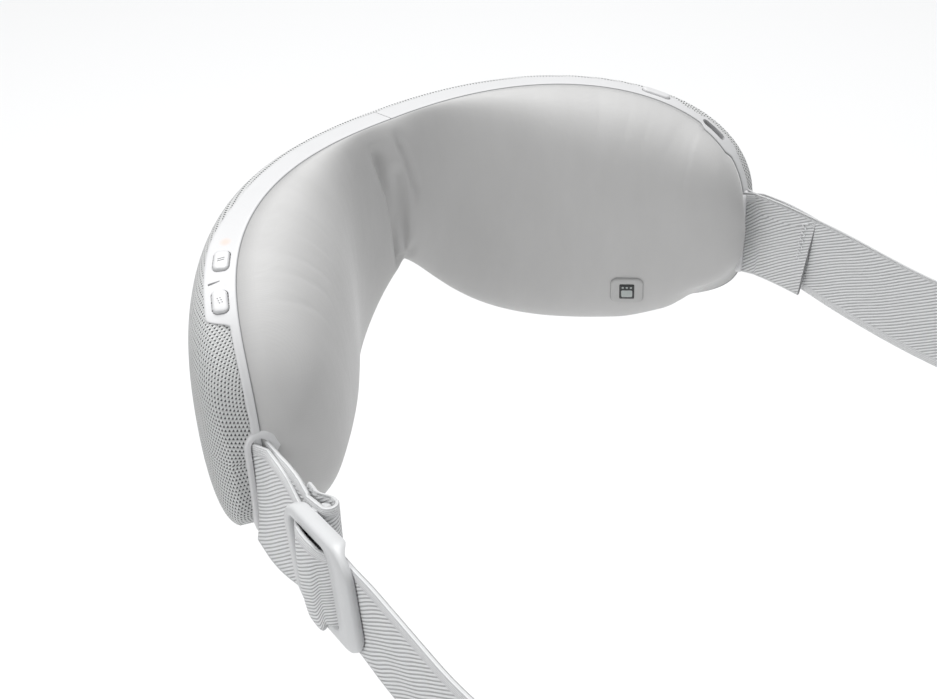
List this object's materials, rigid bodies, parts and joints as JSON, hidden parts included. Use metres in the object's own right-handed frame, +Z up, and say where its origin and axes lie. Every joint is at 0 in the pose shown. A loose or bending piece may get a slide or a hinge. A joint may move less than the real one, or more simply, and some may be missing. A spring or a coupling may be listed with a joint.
{
  "type": "eye massager mask",
  "caption": "Padded eye massager mask in two hinged halves with mesh front, rim buttons, charging socket and an adjustable elastic head strap.",
  "frame": {"origin": "the middle of the rim's front edge, where the fold line meets it, at the level where the outline is widest", "axes": "+Y towards the back of the wearer's head, +Z up, +X to the wearer's left"},
  "size_m": [0.2078, 0.2653, 0.0791],
  "materials": {
    "mesh_fabric": "knitted mesh, matte",
    "cushion_fabric": "fine smooth knit, slight sheen",
    "strap_elastic": "ribbed woven elastic, matte",
    "rim_plastic": "fine moulded, satin",
    "shell_plastic": "moulded, satin",
    "rubber": "matte",
    "clear_plastic": "clear, smooth",
    "battery_foil": "satin foil",
    "heater_film": "thin film",
    "circuit_board": "solder mask",
    "dark_window": "polished",
    "contacts": "plated",
    "steel": "satin"
  },
  "bodies": {
    "right_half": {"air_bladder_right": "rubber", "air_tube_right": "clear_plastic", "battery": "battery_foil", "charging_contacts": "contacts", "charging_port": "steel", "control_board": "circuit_board", "cushion_right": "cushion_fabric", "front_shell_right": "shell_plastic", "heating_pad_right": "heater_film", "hinge_leaf_right": "steel", "hinge_pin": "steel", "inner_plate_right": "shell_plastic", "light_pipe_right": "clear_plastic", "mesh_cover_right": "mesh_fabric", "motor_cradle_right": "rubber", "power_switch": "steel", "rim_right": "rim_plastic", "screw_right_1": "steel", "screw_right_2": "steel", "screw_right_3": "steel", "screw_right_4": "steel", "sensor_board": "circuit_board", "sensor_housing": "rim_plastic", "sensor_window": "dark_window", "strap_anchor_right": "rim_plastic", "strap_pin_right": "steel", "strap_right": "strap_elastic", "vibration_motor_right": "steel", "wire_harness_right": "rubber"},
    "left_half": {"air_bladder_left": "rubber", "air_pump": "steel", "air_tube_left": "clear_plastic", "air_valve": "steel", "button_board": "circuit_board", "cushion_left": "cushion_fabric", "front_shell_left": "shell_plastic", "heating_pad_left": "heater_film", "hinge_leaf_left": "steel", "inner_plate_left": "shell_plastic", "intensity_switch": "steel", "light_pipe_left": "clear_plastic", "mesh_cover_left": "mesh_fabric", "mode_switch": "steel", "motor_cradle_left": "rubber", "rim_left": "rim_plastic", "screw_left_1": "steel", "screw_left_2": "steel", "screw_left_3": "steel", "screw_left_4": "steel", "strap_anchor_left": "rim_plastic", "strap_pin_left": "steel", "vibration_motor_left": "steel", "wire_harness_left": "rubber"},
    "buckle": {"buckle": "rim_plastic"},
    "left_weight": {"eccentric_weight_left": "steel"},
    "right_weight": {"eccentric_weight_right": "steel"},
    "intensity_button": {"intensity_button": "rim_plastic"},
    "mode_button": {"mode_button": "rim_plastic"},
    "power_button": {"power_button": "rim_plastic"},
    "left_strap": {"strap_left": "strap_elastic"}
  },
  "joints": [
    {"name": "fold", "type": "hinge", "parent": "right_half", "child": "left_half", "pos_m": [0, 0.0084, 0.028], "axis": [0, 0, 1], "range_deg": [0, 97], "deforming": ["cushion_left", "cushion_right", "strap_left", "strap_right", "air_tube_left", "air_tube_right", "wire_harness_left", "wire_harness_right"]},
    {"name": "strap_end_swing", "type": "hinge", "parent": "left_half", "child": "left_strap", "pos_m": [0.08894, 0.06468, -0.001], "axis": [0, 0, 1], "range_deg": [-97, 0]},
    {"name": "buckle_slide", "type": "slide", "parent": "left_strap", "child": "buckle", "axis": [0.1648, 0.9853, 0.0449], "range_m": [-0.014, 0.018]},
    {"name": "intensity_press", "type": "slide", "parent": "left_half", "child": "intensity_button", "axis": [-0.1598, -0.1925, -0.9682], "range_m": [0, 0.0006], "stiffness_N_per_m": 1500, "springref_m": -0.0002},
    {"name": "mode_press", "type": "slide", "parent": "left_half", "child": "mode_button", "axis": [-0.2127, -0.3524, -0.9114], "range_m": [0, 0.0006], "stiffness_N_per_m": 1500, "springref_m": -0.0002},
    {"name": "power_press", "type": "slide", "parent": "right_half", "child": "power_button", "axis": [0.1763, -0.2366, -0.9555], "range_m": [0, 0.0006], "stiffness_N_per_m": 1500, "springref_m": -0.0002},
    {"name": "left_weight_spin", "type": "hinge", "parent": "left_half", "child": "left_weight", "pos_m": [0.03302, 0.00633, 0.0215], "axis": [-0.2849, 0.9586, 0], "continuous": true},
    {"name": "right_weight_spin", "type": "hinge", "parent": "right_half", "child": "right_weight", "pos_m": [-0.03302, 0.00633, 0.0215], "axis": [0.2849, 0.9586, 0], "continuous": true}
  ],
  "couplings": [
    {"joint": "strap_end_swing", "follows": "fold", "ratio": -1}
  ]
}
